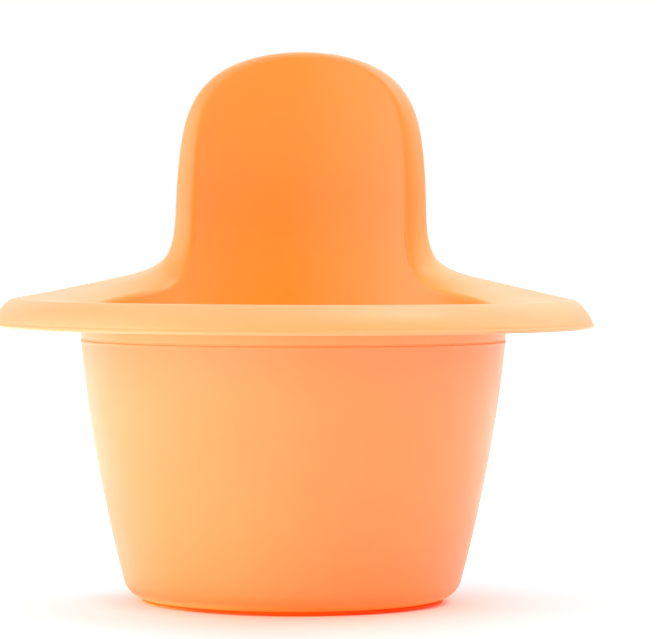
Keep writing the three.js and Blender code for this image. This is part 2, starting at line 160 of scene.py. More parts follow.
def rounded(points, closed=False, seg=5):
    """Rounds the corners of an outline of (r, z) or (r, z, radius).
    A holding point on each side of an arc keeps the smooth shading tight."""
    points = [(float(p[0]), float(p[1]), float(p[2]) if len(p) > 2 else 0.0) for p in points]
    n = len(points)
    out = []
    for i, (x, y, radius) in enumerate(points):
        if radius <= 0 or (not closed and i in (0, n - 1)):
            out.append((x, y))
            continue
        corner = np.array([x, y])
        before = np.array(points[(i - 1) % n][:2]) - corner
        after = np.array(points[(i + 1) % n][:2]) - corner
        before_len, after_len = np.linalg.norm(before), np.linalg.norm(after)
        before, after = before / before_len, after / after_len
        angle = math.acos(max(-1, min(1, float(before @ after))))
        if angle > math.pi - 0.02:
            out.append((x, y))
            continue
        # the cut leaves room for the neighbouring corners
        cut = min(radius / math.tan(angle / 2), 0.48 * before_len, 0.48 * after_len)
        r = cut * math.tan(angle / 2)
        bisector = (before + after) / np.linalg.norm(before + after)
        centre = corner + bisector * (r / math.sin(angle / 2))
        start, end = corner + before * cut, corner + after * cut

        def hold(point, way, length):
            step = min(0.35 * r + 0.05, 0.45 * (length - cut))
            if step > 0.02:
                out.append(tuple(point + way * step))

        hold(start, before, before_len)
        v0, v1 = start - centre, end - centre
        t0 = math.atan2(v0[1], v0[0])
        sweep = math.atan2(v1[1], v1[0]) - t0
        sweep = (sweep + math.pi) % (2 * math.pi) - math.pi
        for q in range(seg + 1):
            t = t0 + sweep * q / seg
            out.append(tuple(centre + r * np.array([math.cos(t), math.sin(t)])))
        hold(end, after, after_len)
    return out


def smoothstep(t):
    t = np.clip(t, 0, 1)
    return t * t * (3 - 2 * t)


def mark_hollow_shade(ob, values):
    """Stores each vertex's share of the painted shade on the inner side, 0 to 1; the rest stay 0."""
    attribute = ob.data.attributes.new("hollow_shade", "FLOAT", "POINT")
    padded = np.zeros(len(ob.data.vertices), np.float32)
    padded[:len(values)] = values
    attribute.data.foreach_set("value", padded)


# ------------------------------------------------------------------ the bowl
def corner_arc(radius, start, end, count):
    return [
        (CORNER_CENTRE_R + radius * math.cos(a * DEG), CORNER_Z + radius * math.sin(a * DEG))
        for a in np.linspace(start, end, count)
    ]


def bowl_profile():
    """From the socket in the underside, out and up the wall, over the rim and down inside."""
    punt = PUNT_R1 - PUNT_R0
    slope = [
        (PUNT_R0 + punt * t, CEIL_Z + (FOOT_Z - CEIL_Z) * smoothstep(t))
        for t in np.linspace(0, 1, 17)
    ]
    out = rounded([
        (0, SOCKET_TOP), (SOCKET_R, SOCKET_TOP, 0.4), (SOCKET_R, BOSS_Z, 0.35),
        (BOSS_R, BOSS_Z, 0.6), (BOSS_R + 0.5, CEIL_Z, 1.2), slope[0],
    ])[:-1]
    out += [(20, CEIL_Z), (31, CEIL_Z)] + slope + [(56.0, FOOT_Z)]
    out += corner_arc(CORNER_R, -90, -CORNER_END, 15)
    out += [(bowl_r(z), z) for z in np.linspace(11.5, 100.6, 30)]
    # the wall flares out very slightly under its rim
    out += [
        (bowl_r(z) + FLARE_OUT * float(smoothstep((z - FLARE_Z) / FLARE_H)), z)
        for z in np.linspace(101.6, RIM_EDGE_Z, 19)
    ]
    edge = bowl_r(RIM_EDGE_Z) + FLARE_OUT
    out += rounded([
        (edge, RIM_EDGE_Z), (edge, RIM_TOP, 0.22),
        (bowl_r(RIM_Z) - WALL, RIM_TOP, 0.45), (bowl_r(100) - WALL, 100),
    ], seg=4)[1:-1]
    out += [(bowl_r(z) - WALL, z) for z in np.linspace(102.6, 12.5, 30)]
    out += corner_arc(CORNER_R - WALL, -CORNER_END, -90, 13)
    low = FOOT_Z + WALL
    out += [
        (PUNT_R1 + 0.6 - punt * t, low + (FLOOR_Z - low) * smoothstep(t))
        for t in np.linspace(0, 1, 19)
    ]
    return out + [(r, FLOOR_Z) for r in (30, 15, 5, 0)]


def bowl_hollow_shade(profile):
    """1 on the inside, from just past the top of the rim, where a deeper colour is painted as painted
    shade; the two axis points are left out.
    """
    top = int(np.argmax(np.array(profile)[:, 1]))
    inside = np.arange(1, len(profile) - 1) > top + 6
    return np.tile(inside.astype(float), TURNS)


# ------------------------------------------------------ the brim and the guard
# Stations of the rim line on the inner cone, from the front to the back; mirrored for -phi.
# phi (0 is +Y, positive towards -X), z, then the section from there outwards:
#   root radius and heading after it, brim radius and heading, straight run,
#   edge radius and heading, length of the lip's bend and its last heading,
#   share of the outward direction turned from radial to +Y.
# Headings are in degrees: 0 up, 90 outward, 180 down.
FRONT = [3.2, 68, 46, 87, 12.9, 2.2, 126, 12.1, 163, 0]
RIM_TABLE = [[phi, 114.5] + FRONT for phi in (180.0, 160.0, 140.0, 120.0, 100.0)] + [
    [84.0, 114.5, 3.2, 68, 46, 87, 13.2, 2.2, 126, 11.9, 163, 0],
    [70.0, 116.9, 3.2, 74, 46, 87, 16.0, 2.2, 126, 11.5, 163, 0],
    [58.0, 118.9, 3.2, 71, 43, 87, 13.3, 2.2, 126, 11.0, 162, 0],
    [48.0, 120.7, 3.2, 62, 34, 88, 8.3, 2.3, 126, 10.2, 161, 0.15],
    [40.0, 122.4, 3.2, 47, 23, 89, 4.2, 2.5, 127, 8.8, 160, 0.45],
    [34.2, 127.6, 3.2, 29, 15.5, 84, 3.4, 2.8, 128, 7.2, 158, 0.75],
    [31.3, 136.8, 3.2, 25, 12.6, 89, 2.2, 3.0, 130, 5.6, 157, 0.95],
    [29.5, 147.6, 3.2, 23, 11.4, 90, 1.8, 3.0, 132, 4.6, 156, 1],
    [28.6, 160.0, 3.2, 22, 11.0, 90, 1.6, 3.0, 134, 4.0, 156, 1],
    [27.6, 172.0, 3.2, 22, 10.8, 90, 1.6, 3.0, 135, 3.6, 156, 1],
    [26.4, 184.0, 3.2, 24, 10.6, 90, 1.8, 3.0, 136, 3.4, 156, 1],
    [24.8, 196.0, 3.2, 28, 10.2, 90, 2.2, 3.0, 138, 3.2, 156, 1],
    [21.6, 206.5, 3.2, 36, 9.6, 90, 3.0, 3.2, 139, 3.0, 157, 1],
    [16.8, 214.0, 3.2, 48, 9.0, 91, 4.4, 3.4, 140, 3.0, 158, 1],
    [10.5, 219.0, 3.2, 60, 8.6, 92, 6.6, 3.6, 140, 3.0, 159, 1],
    [3.4, 221.3, 3.2, 66, 8.2, 93, 7.9, 3.8, 140, 3.0, 160, 1],
]
CURVE_STEPS = 48      # points of the spline per station
BEND_WEIGHT = 16      # mm of length that one radian of bend counts for in the spacing
GUARD_PHI = 50        # the guard's sections spread their feet within this angle
WALL_STEPS = 16
COLLAR_LEVELS = (98.5, 101, 103, 104, 104.8, 105.6, 106.4, 107.2, 108.0, 108.8, 109.6, 110.4, 111.2)
LIP_SWELL = (-0.02, -0.08, -0.12, -0.02, 0.08, 0.10)
# row of the upper surface, share of painted shade on the brim, share of painted shade on the guard;
# the deeper colour of the shaded inside fades out over the brim
HOLLOW_SHADE_ROWS = [
    (0, 0.9, 1.0), (7, 0.5, 0.97), (19, 0.2, 0.95), (24, 0.1, 0.93),
    (31, 0.0, 0.75), (36, 0.0, 0.3), (99, 0.0, 0.2),
]
# share of painted shade on the collar, which lies in the shade under the brim
COLLAR_SHADE = 0.45


def guard_inner(z):
    """Inner radius: straight skirt, Hermite blend from RIM_Z to CONE_Z, then the cone."""
    z = np.asarray(z, float)
    cone = LEAN_R0 + LEAN * (z - LEAN_Z0)
    h = CONE_Z - RIM_Z
    t = np.clip((z - RIM_Z) / h, 0, 1)
    cone_r = LEAN_R0 + LEAN * (CONE_Z - LEAN_Z0)
    blend = (2 * t**3 - 3 * t**2 + 1) * PLUG_IN + (-2 * t**3 + 3 * t**2) * cone_r
    blend = blend + (t**3 - t**2) * h * LEAN
    return np.where(z >= CONE_Z, cone, np.where(z <= RIM_Z, PLUG_IN, blend))


def around(radius, phi, z):
    a = np.asarray(phi, float) * DEG
    z = np.broadcast_to(np.asarray(z, float), np.shape(radius * a))
    return np.stack([-radius * np.sin(a), radius * np.cos(a), z], -1)


def on_wall(phi, z, out=0.0):
    return around(guard_inner(z) + out, phi, z)


def unit(vectors):
    return vectors / np.linalg.norm(vectors, axis=1)[:, None]


def rim_curve():
    """Uniform cubic B-spline through the mirrored table, once round."""
    table = np.array(RIM_TABLE, float)
    mirror = table[1:][::-1].copy()
    mirror[:, 0] *= -1
    stations = np.vstack([table, mirror])
    out = []
    for i in range(len(stations)):
        four = stations[[(i + k) % len(stations) for k in (-1, 0, 1, 2)]]
        # bring phi within half a turn of this station
        four[:, 0] -= 360 * np.round((four[:, 0] - stations[i, 0]) / 360)
        for u in np.arange(CURVE_STEPS) / CURVE_STEPS:
            weights = [(1 - u) ** 3, 3 * u**3 - 6 * u**2 + 4, -3 * u**3 + 3 * u**2 + 3 * u + 1, u**3]
            out.append(np.array(weights) / 6 @ four)
    return np.array(out)


def rim_samples(n):
    """n stations spaced by length, closer where the rim line bends."""
    curve = rim_curve()
    points = on_wall(curve[:, 0], curve[:, 1])
    step = np.roll(points, -1, 0) - points
    length = np.linalg.norm(step, axis=1)
    way = step / length[:, None]
    bend = np.arccos(np.clip(np.sum(way * np.roll(way, -1, 0), 1), -1, 1))
    travelled = np.concatenate([[0], np.cumsum(length + BEND_WEIGHT * bend)])
    closed = np.vstack([curve, curve[:1]])
    # phi runs from about 180 down to about -180 and closes on itself
    closed[:, 0] = np.unwrap(closed[:, 0] * DEG) / DEG
    at = np.arange(n) / n * travelled[-1]
    return np.stack([np.interp(at, travelled, column) for column in closed.T], -1)


def section_feet(phi, rim):
    """Angle of each section's foot on the level CONE_Z: below the guard the feet are
    spread evenly with the length of the rim line."""
    feet = phi.copy()
    top = on_wall(0.0, RIM_TABLE[-1][1])
    for side in (1, -1):
        near = [i for i in range(len(phi)) if side * phi[i] >= 0 and abs(phi[i]) < GUARD_PHI]
        near = near[::side]
        steps = [np.linalg.norm(rim[b] - rim[a]) for a, b in zip(near[:-1], near[1:])]
        run = np.concatenate([[0], np.cumsum(steps)])
        total = run[-1] + np.linalg.norm(rim[near[-1]] - top)
        feet[near] = side * abs(phi[near[0]]) * (1 - run / total)
    return feet


def brim_surfaces(stations, phi, rim):
    """Rows of the upper surface, the rounded lip and the underside, from the rim line out."""
    root_r, root_h, brim_r, brim_h, run, edge_r, edge_h, drop, lip_h, back = stations[:, 2:].T
    root_h, brim_h, edge_h, lip_h = [h * DEG for h in (root_h, brim_h, edge_h, lip_h)]

    # each section lies in the plane of its own up and out directions
    along = unit(np.roll(rim, -1, 0) - np.roll(rim, 1, 0))
    radial = around(1.0, phi, 0.0)
    normal = unit(radial + np.array([0, 0, -LEAN]))
    climb = unit(np.cross(along, normal))
    out = unit(radial * (1 - back)[:, None] + np.array([0, 1.0, 0]) * back[:, None])
    up = unit(climb - np.sum(climb * out, 1)[:, None] * out)
    wall_h = np.arctan2(-np.sum(up * normal, 1), np.sum(out * normal, 1))

    def in_plane(rise, reach):
        return rise[:, None] * up + reach[:, None] * out

    upper, under = [], []

    def put(point, heading, thick=SKIN):
        upper.append(point)
        under.append(point + in_plane(-thick * np.sin(heading), thick * np.cos(heading)))
        return point

    def arc(start, radius, h0, h1, steps, thick0=SKIN, thick1=SKIN):
        for k in range(1, steps + 1):
            h = h0 + (h1 - h0) * k / steps
            rise, reach = radius * (np.sin(h) - np.sin(h0)), radius * (np.cos(h0) - np.cos(h))
            point = put(start + in_plane(rise, reach), h, thick0 + (thick1 - thick0) * k / steps)
        return point

    point = put(rim, wall_h)
    point = arc(point, root_r, wall_h, root_h, 7)
    point = arc(point, brim_r, root_h, brim_h, 12)
    for _ in range(4):
        point = point + in_plane(run / 4 * np.cos(brim_h), run / 4 * np.sin(brim_h))
        put(point, brim_h)
    point = arc(point, edge_r, brim_h, edge_h, 7)
    bend_r = drop / (lip_h - edge_h)
    thin_h = lip_h - LIP_LENGTH / bend_r
    point = arc(point, bend_r, edge_h, thin_h, 10, SKIN, LIP_START_T)
    count = len(LIP_SWELL)
    arc(point, bend_r, thin_h, lip_h, count, LIP_START_T, LIP_T)
    # the end of the lip swells out into a fine rolled edge
    for k, swell in enumerate(LIP_SWELL):
        h = thin_h + (lip_h - thin_h) * (k + 1) / count
        upper[k - count] = upper[k - count] + swell * in_plane(np.sin(h), -np.cos(h))

    middle, half = (upper[-1] + under[-1]) / 2, (upper[-1] - under[-1]) / 2
    ahead = in_plane(np.cos(lip_h), np.sin(lip_h))
    lip = []
    for q in range(1, 8):
        t = math.pi * q / 8
        lip.append(middle + half * math.cos(t) + ahead * (LIP_T / 2 * math.sin(t)))
    return upper, lip, under


def guard_sections():
    """Closed sections of the whole guard piece, and every point's share of painted shade."""
    stations = rim_samples(GUARD_SECTIONS)
    phi = (stations[:, 0] + 180) % 360 - 180
    z = stations[:, 1]
    rim = on_wall(phi, z)
    feet = section_feet(phi, rim)
    upper, lip, under = brim_surfaces(stations, phi, rim)

    def wall_row(k, out=0.0):
        share = k / WALL_STEPS
        return on_wall(feet + (phi - feet) * share, CONE_Z + (z - CONE_Z) * share, out)

    skirt = rounded([(PLUG_OUT - 1.0, PLUG_Z), (PLUG_IN, PLUG_Z, 0.8), (PLUG_IN, RIM_Z)])[1:-1]
    wall_r = float(guard_inner(CONE_Z)) + SKIN
    collar = rounded([
        (wall_r, CONE_Z + 0.5), (wall_r, COLLAR_Z1 + 0.2, 0.9), (COLLAR_R, COLLAR_Z1, 0.8),
        (COLLAR_R, COLLAR_Z0, 0.2), (PLUG_OUT, COLLAR_Z0, 0.3), (PLUG_OUT, PLUG_Z, 0.6),
        (PLUG_IN, PLUG_Z),
    ])[1:-1]

    inside = [around(r, feet, level) for r, level in skirt]
    inside += [on_wall(feet, level) for level in COLLAR_LEVELS]
    inside += [wall_row(k) for k in range(WALL_STEPS)]
    rows = inside + upper + lip + under[::-1]
    rows += [wall_row(k, SKIN) for k in range(WALL_STEPS - 1, -1, -1)]
    rows += [around(r, feet, level) for r, level in collar]

    at, brim, guard = zip(*HOLLOW_SHADE_ROWS)
    row = np.arange(len(upper))
    back = stations[:, -1:]
    hollow_shade = np.zeros((GUARD_SECTIONS, len(rows)))
    hollow_shade[:, :len(inside)] = 1.0
    hollow_shade[:, len(inside):len(inside) + len(upper)] = (
        np.interp(row, at, brim) * (1 - back) + np.interp(row, at, guard) * back)
    hollow_shade[:, -len(collar):] = COLLAR_SHADE
    return np.stack(rows, 1), hollow_shade.reshape(-1)


# ---------------------------------------------------------------- seal, plug
def seal_profile():
    """A flat ring on the rim with a leg down the inside of the bowl's wall."""
    def leg(z):
        return bowl_r(z) - WALL - SEAL_GAP
    return rounded([
        (SEAL_IN, SEAL_LEG_Z, 0.3), (leg(SEAL_LEG_Z), SEAL_LEG_Z, 0.3),
        (leg(RIM_Z), RIM_EDGE_Z, 0.05), (leg(RIM_Z), SEAL_Z0, 0.05),
        (SEAL_OUT, SEAL_Z0, 0.08), (SEAL_OUT, SEAL_Z1, 0.08), (SEAL_IN, SEAL_Z1, 0.1),
    ], closed=True, seg=4)


def plug_profile():
    """A flat head below the pad and a pin up into the bowl's socket."""
    pin_r, pin_top = SOCKET_R - PIN_GAP, SOCKET_TOP - PIN_GAP
    return rounded([
        (0, 1.7), (6.6, 1.7, 0.5), (7.5, 2.3, 0.4), (7.5, 3.2, 0.2), (pin_r, 3.2, 0.15),
        (pin_r, 8.4, 0.2), (2.4, pin_top, 0.2), (0, pin_top),
    ], seg=4)


# ------------------------------------------------------- suction pad and tab
# (distance from the axis, height) of the pad's two surfaces
PAD_TOP = [
    (0, 4.95), (12, 4.95), (20, 4.8), (30, 4.15), (40, 3.1),
    (47, 1.7), (52, 0.8), (57.4, 0.72), (80, 0.72),
]
PAD_UNDER = [(0, 3.45), (14, 3.45), (22, 3.1), (32, 2.45), (40, 1.55), (46, 0.6), (50, 0.0), (80, 0.0)]
PAD_RINGS = [
    PAD_HOLE_R, 3.6, 4.2, 6, 8, 10, 12, 14, 17, 20, 23, 26, 29, 32, 35, 38,
    40, 42, 44, 46, 47.5, 49, 50, 51, 52, 53.5, PAD_CORE_R,
]
HINGE_Y, RIB_YS = 62.0, (67.6, 70.2, 72.8)


def pad_outline():
    """Disc and tab: from the front (-Y) round by +X to the tab's tip, then mirrored."""
    reach = PAD_R + TAB_FILLET
    end = math.asin((TAB_HALF + TAB_FILLET) / reach)
    half = [(PAD_R * math.sin(t), PAD_R * math.cos(t)) for t in np.linspace(math.pi, end, 220)]
    # fillet where the tab leaves the disc
    x, y = reach * math.sin(end), reach * math.cos(end)
    start = math.atan2(half[-1][1] - y, half[-1][0] - x)
    for q in np.linspace(0, 1, 14)[1:]:
        a = start + (-math.pi - start) * q
        half.append((x + TAB_FILLET * math.cos(a), y + TAB_FILLET * math.sin(a)))
    tip_y = TAB_END - TAB_TIP
    half += [(TAB_HALF, side_y) for side_y in np.linspace(y, tip_y, 30)[1:]]
    half += [
        (TAB_HALF * math.cos(t), tip_y + TAB_TIP * math.sin(t))
        for t in np.linspace(0, math.pi / 2, 34)[1:]
    ]
    half = np.array(half)
    mirror = half[1:-1][::-1].copy()
    mirror[:, 0] *= -1
    return np.vstack([half, mirror])


def tab_share(x, y, span):
    return smoothstep((y - 57.0) / span) * (np.abs(x) < TAB_HALF + 2)


def pad_top(x, y):
    disc = np.interp(np.hypot(x, y), *zip(*PAD_TOP))
    share = tab_share(x, y, 1.5)
    # living hinge: a shallow groove across the root of the tab, then cross ribs
    groove = np.exp(-((y - HINGE_Y) / 1.0) ** 2)
    ribs = sum(np.exp(-((y - rib_y) / 0.62) ** 2) for rib_y in RIB_YS)
    side = smoothstep((TAB_HALF - 2.0 - np.abs(x) - (y - HINGE_Y) * 0.02) / 1.4)
    tab = 0.74 + 0.62 * smoothstep((y - 62.2) / 1.6) - 0.16 * groove
    tab = tab + 0.46 * ribs * side * smoothstep((y - 64) / 2)
    return disc * (1 - share) + tab * share


def pad_under(x, y):
    disc = np.interp(np.hypot(x, y), *zip(*PAD_UNDER))
    share = tab_share(x, y, 2.0)
    return disc * (1 - share) + 0.25 * share


def edge_fall(depth, radius):
    """How far a surface drops at this depth inside an edge rounded to radius."""
    k = np.clip(1 - depth / radius, 0, 1)
    return radius * (1 - np.sqrt(np.clip(1 - k * k, 0, 1)))


def pad_mesh():
    """Pad and tab as one soft moulding: circular rings inside, radial lines out to the outline."""
    outline = pad_outline()
    angle = np.arctan2(outline[:, 0], outline[:, 1])
    way = np.stack([np.sin(angle), np.cos(angle)], -1)
    core = way * PAD_CORE_R
    rings = [way * r for r in PAD_RINGS]
    rings += [core + (outline - core) * q for q in np.linspace(0, 1, 49)[1:-1]]
    top_rows, under_rows = [], []
    for xy in rings:
        x, y = xy.T
        top, under = pad_top(x, y), pad_under(x, y)
        middle = (top + under) / 2
        fall = edge_fall(np.linalg.norm(outline - xy, axis=1), PAD_EDGE_R)
        bore = edge_fall(np.hypot(x, y) - PAD_HOLE_R, BORE_EDGE_R)
        top_rows.append(np.column_stack([xy, np.maximum(top - fall, middle + 0.02) - bore]))
        lowered = np.minimum(under + 0.5 * fall, middle - 0.02)
        under_rows.append(np.column_stack([xy, lowered + bore]))
    x, y = outline.T
    edge_row = np.column_stack([outline, (pad_top(x, y) + pad_under(x, y)) / 2])
    return ring_mesh("suction_foot", np.stack(under_rows + [edge_row] + top_rows[::-1], 1))


# -------------------------------------------------------------- node helpers
def feed(tree, socket, value):
    """Links a socket as the source, or sets a plain value."""
    if isinstance(value, bpy.types.NodeSocket):
        tree.links.new(value, socket)
    else:
        socket.default_value = value


def add(tree, kind, inputs=None, **settings):
    node = tree.nodes.new("ShaderNode" + kind)
    for name, value in settings.items():
        setattr(node, name, value)
    for key, value in (inputs or {}).items():
        feed(tree, node.inputs[key], value)
    return node


def calc(tree, operation, a, b):
    return add(tree, "Math", {0: a, 1: b}, operation=operation).outputs[0]


def vector(tree, operation, a, b, output=0):
    return add(tree, "VectorMath", {0: a, 1: b}, operation=operation).outputs[output]


def scaled(tree, colour, factor):
    return add(tree, "VectorMath", {0: colour, "Scale": factor}, operation="SCALE").outputs[0]


def summed(tree, parts):
    total = parts[0]
    for part in parts[1:]:
        total = vector(tree, "ADD", total, part)
    return total


def ramp(tree, value, start, stop, low=0.0, high=1.0, kind="SMOOTHSTEP"):
    """Maps start..stop to low..high."""
    inputs = {"Value": value, "From Min": start, "From Max": stop, "To Min": low, "To Max": high}
    return add(tree, "MapRange", inputs, interpolation_type=kind).outputs[0]


def mixed(tree, a, b, factor):
    inputs = {"A": a, "B": b, "Factor": factor}
    return add(tree, "Mix", inputs, data_type="RGBA").outputs["Result"]


def noise(tree, coords, scale, detail, roughness=0.5):
    inputs = {"Vector": coords, "Scale": scale, "Detail": detail, "Roughness": roughness}
    return add(tree, "TexNoise", inputs).outputs["Fac"]


def along_axis(tree, coords, axis):
    return add(tree, "SeparateXYZ", {0: coords}).outputs[axis]


# ----------------------------------------------------------------- materials
def srgb(*channels):
    def linear(c):
        c /= 255.0
        return c / 12.92 if c <= 0.04045 else ((c + 0.055) / 1.055) ** 2.4
    return tuple(linear(c) for c in channels) + (1.0,)


def flowing(tree, coords, base, deep):
    """Slow variation of the colour, drawn out round the axis."""
    stretched = add(tree, "Mapping", {"Vector": coords, "Scale": (1.0, 1.0, 2.2)}).outputs[0]
    flow = noise(tree, stretched, scale=14.0, detail=3.0, roughness=0.45)
    deeper = tuple(base[i] * 0.93 + deep[i] * 0.07 for i in range(3)) + (1.0,)
    return mixed(tree, base, deeper, ramp(tree, flow, 0.35, 0.65, kind="LINEAR"))


def painted_hollow_shade(tree, coords, body, inner, inner_low):
    """Painted shade: the inner side is mixed towards a deeper colour, standing in for its shade and
    for light through the translucent wall; from 165 mm down to 112 mm that colour turns lighter.
    """
    share = add(tree, "Attribute", attribute_name="hollow_shade").outputs["Fac"]
    height = ramp(tree, along_axis(tree, coords, "Z"), 0.112, 0.165)
    return mixed(tree, body, mixed(tree, inner_low, inner, height), share)


def painted_edge_sheen(tree, body, sheen_pale, share, blend, power):
    """Painted sheen: seen edge-on the surface is mixed towards a paler colour, standing in for the
    grazing reflection of the white surroundings and for light through the translucent wall.
    """
    facing = add(tree, "LayerWeight", {"Blend": blend}).outputs["Facing"]
    facing = calc(tree, "POWER", facing, power)
    return mixed(tree, body, sheen_pale, calc(tree, "MULTIPLY", facing, share))


def bumped(tree, coords, grain):
    """Fine spark erosion under a trace of sink waviness."""
    fine = add(tree, "Bump", {
        "Strength": grain, "Distance": 0.00006,
        "Height": noise(tree, coords, scale=2600.0, detail=2.0),
    }).outputs[0]
    return add(tree, "Bump", {
        "Strength": 0.12, "Distance": 0.0004,
        "Height": noise(tree, coords, scale=45.0, detail=1.0), "Normal": fine,
    }).outputs[0]


def glow_strength(tree, coords, axis, start, stop, end, left_gain):
    """Strength of a painted glow, standing in for light carried in the translucent wall: 1 at start,
    end at stop, times left_gain towards -X, the lit side.
    """
    fade = ramp(tree, along_axis(tree, coords, axis), start, stop, 1.0, end)
    gain = ramp(tree, along_axis(tree, coords, "X"), -0.055, 0.015, left_gain, 1.0)
    return calc(tree, "MULTIPLY", fade, gain)


def moulded(name, base, sheen_pale, deep, rough=0.36, subsurface=0.25, grain=0.10, spec=0.75,
            edge_share=0.12, edge_blend=0.32, edge_power=1.6,
            inner=None, inner_low=None, painted_left_light=None, glow_colour=None, glow=None):
    """Satin translucent moulding with soft colour flow and a fine micro texture, with painted light on
    top:
    painted shade on the inner side, a painted sheen on edges seen edge-on, a painted paler left end
    and a painted glow. The paler left end is given as (colour, x where it is full, x where it ends)."""
    material = bpy.data.materials.new(name)
    material.use_nodes = True
    tree = material.node_tree
    tree.nodes.clear()
    coords = add(tree, "TexCoord").outputs["Object"]

    body = flowing(tree, coords, base, deep)
    # painted shade on the inner side
    if inner:
        body = painted_hollow_shade(tree, coords, body, inner, inner_low or inner)
    # painted light: the left end mixed towards a paler colour where the light falls
    if painted_left_light:
        colour, full, end = painted_left_light
        share = ramp(tree, along_axis(tree, coords, "X"), full, end, 1.0, 0.0)
        body = mixed(tree, body, colour, share)
    # painted sheen on surfaces seen edge-on
    body = painted_edge_sheen(tree, body, sheen_pale, edge_share, edge_blend, edge_power)
    # tiny specks of pigment
    specks = noise(tree, coords, scale=900.0, detail=1.0)
    body = mixed(tree, body, deep, ramp(tree, specks, 0.62, 0.80, high=0.05, kind="LINEAR"))

    # handling polish in soft patches over the satin
    polish = noise(tree, coords, scale=32.0, detail=4.0)
    shader = add(tree, "BsdfPrincipled", {
        "Base Color": body,
        "Roughness": ramp(tree, polish, 0.3, 0.7, rough - 0.05, rough + 0.05, kind="LINEAR"),
        "Normal": bumped(tree, coords, grain),
        "Subsurface Weight": subsurface,
        "Subsurface Radius": (1.0, 0.36, 0.14),
        "Subsurface Scale": 0.004,
        "Specular IOR Level": spec,
        "IOR": 1.49,
    })
    # painted glow: emission standing in for light carried in the wall
    if glow:
        feed(tree, shader.inputs["Emission Color"], glow_colour + (1.0,))
        feed(tree, shader.inputs["Emission Strength"], glow_strength(tree, coords, **glow))
    add(tree, "OutputMaterial", {0: shader.outputs[0]})
    return material


# colour of the painted edge sheen
SHEEN_PALE = srgb(255, 222, 178)
DEEP = srgb(235, 96, 34)
# The bowl: its inside painted slightly deeper as painted shade, and a painted glow on the bottom
# corner near the floor, strongest on the left.
BOWL_PLASTIC = moulded(
    "bowl_plastic", base=srgb(253, 143, 68), sheen_pale=SHEEN_PALE, deep=DEEP, spec=0.6, edge_share=0.04,
    inner=srgb(253, 146, 58), glow_colour=(0.35, 0.120, 0.016),
    glow=dict(axis="Z", start=0.0012, stop=0.0052, end=0.0, left_gain=1.9))
# The guard: the inner side painted deeper as painted shade and light through the wall, lighter towards
# its bottom, and a strong painted sheen on edges seen edge-on.
GUARD_PLASTIC = moulded(
    "guard_plastic", base=srgb(253, 158, 98), sheen_pale=SHEEN_PALE, deep=DEEP,
    edge_share=0.42, edge_blend=0.5, edge_power=4.0,
    inner=srgb(253, 132, 47), inner_low=srgb(253, 156, 50))
# The seal: a painted glow lightens the seam line, strongest at the left and fading towards +X.
SEAL_RUBBER = moulded(
    "seal_rubber", base=srgb(253, 146, 74), sheen_pale=srgb(255, 190, 140), deep=srgb(240, 120, 60),
    rough=0.5, grain=0.2, spec=0.5, edge_share=0.04, glow_colour=(0.12, 0.080, 0.045),
    glow=dict(axis="X", start=-0.06, stop=0.03, end=0.45, left_gain=1.5))
# The pad: its deep red-orange stands partly for the rubber and partly for painted shade of the gap
# under the bowl; a painted glow fades out towards +X and its left end is painted paler where the light
# falls.
PAD_RUBBER = moulded(
    "pad_rubber", base=srgb(255, 84, 8), sheen_pale=srgb(255, 130, 60), deep=srgb(225, 55, 6),
    rough=0.45, subsurface=0.4, grain=0.25, spec=0.3, edge_share=0.05,
    painted_left_light=(srgb(255, 170, 112), -0.058, -0.030), glow_colour=(0.50, 0.040, 0.0010),
    glow=dict(axis="X", start=0.0, stop=0.045, end=0.12, left_gain=1.0))
PLUG_PLASTIC = moulded("plug_plastic", base=srgb(250, 142, 62), sheen_pale=SHEEN_PALE, deep=DEEP)


# -------------------------------------------------------------------- pieces
def dress(ob, material, body, slot, *nodes):
    ob.data.materials.append(material)
    if body:
        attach(ob, body)
    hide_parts(*nodes)
    return ob


profile = bowl_profile()
bowl = lathe("bowl", profile, TURNS)
dress(bowl, BOWL_PLASTIC, "bowl", "bowl_plastic", "bowl_shell")
mark_hollow_shade(bowl, bowl_hollow_shade(profile))

sections, hollow_shade = guard_sections()
guard = ring_mesh("splash_guard_brim", sections)
dress(guard, GUARD_PLASTIC, "guard", "guard_plastic", "guard_rim")
mark_hollow_shade(guard, hollow_shade)

seal = lathe("seam_ring", seal_profile(), TURNS)
dress(seal, SEAL_RUBBER, "seal", "seal_rubber", "rim_seal")

plug = lathe("push_plug", plug_profile(), PLUG_TURNS)
dress(plug, PLUG_PLASTIC, "bowl", "plug_plastic", "pad_plug")

# the pad and the tab are one moulding, joined at the hinge groove
foot = dress(pad_mesh(), PAD_RUBBER, None, "pad_rubber", "suction_pad", "release_tab")
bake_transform(foot)

# --------------------------------------------------------------------- floor
FLOOR_HALF, FLOOR_LEVEL = 8.0, -0.00005
LEFT, RIGHT = (-1, 0, 0), (1, 0, 0)
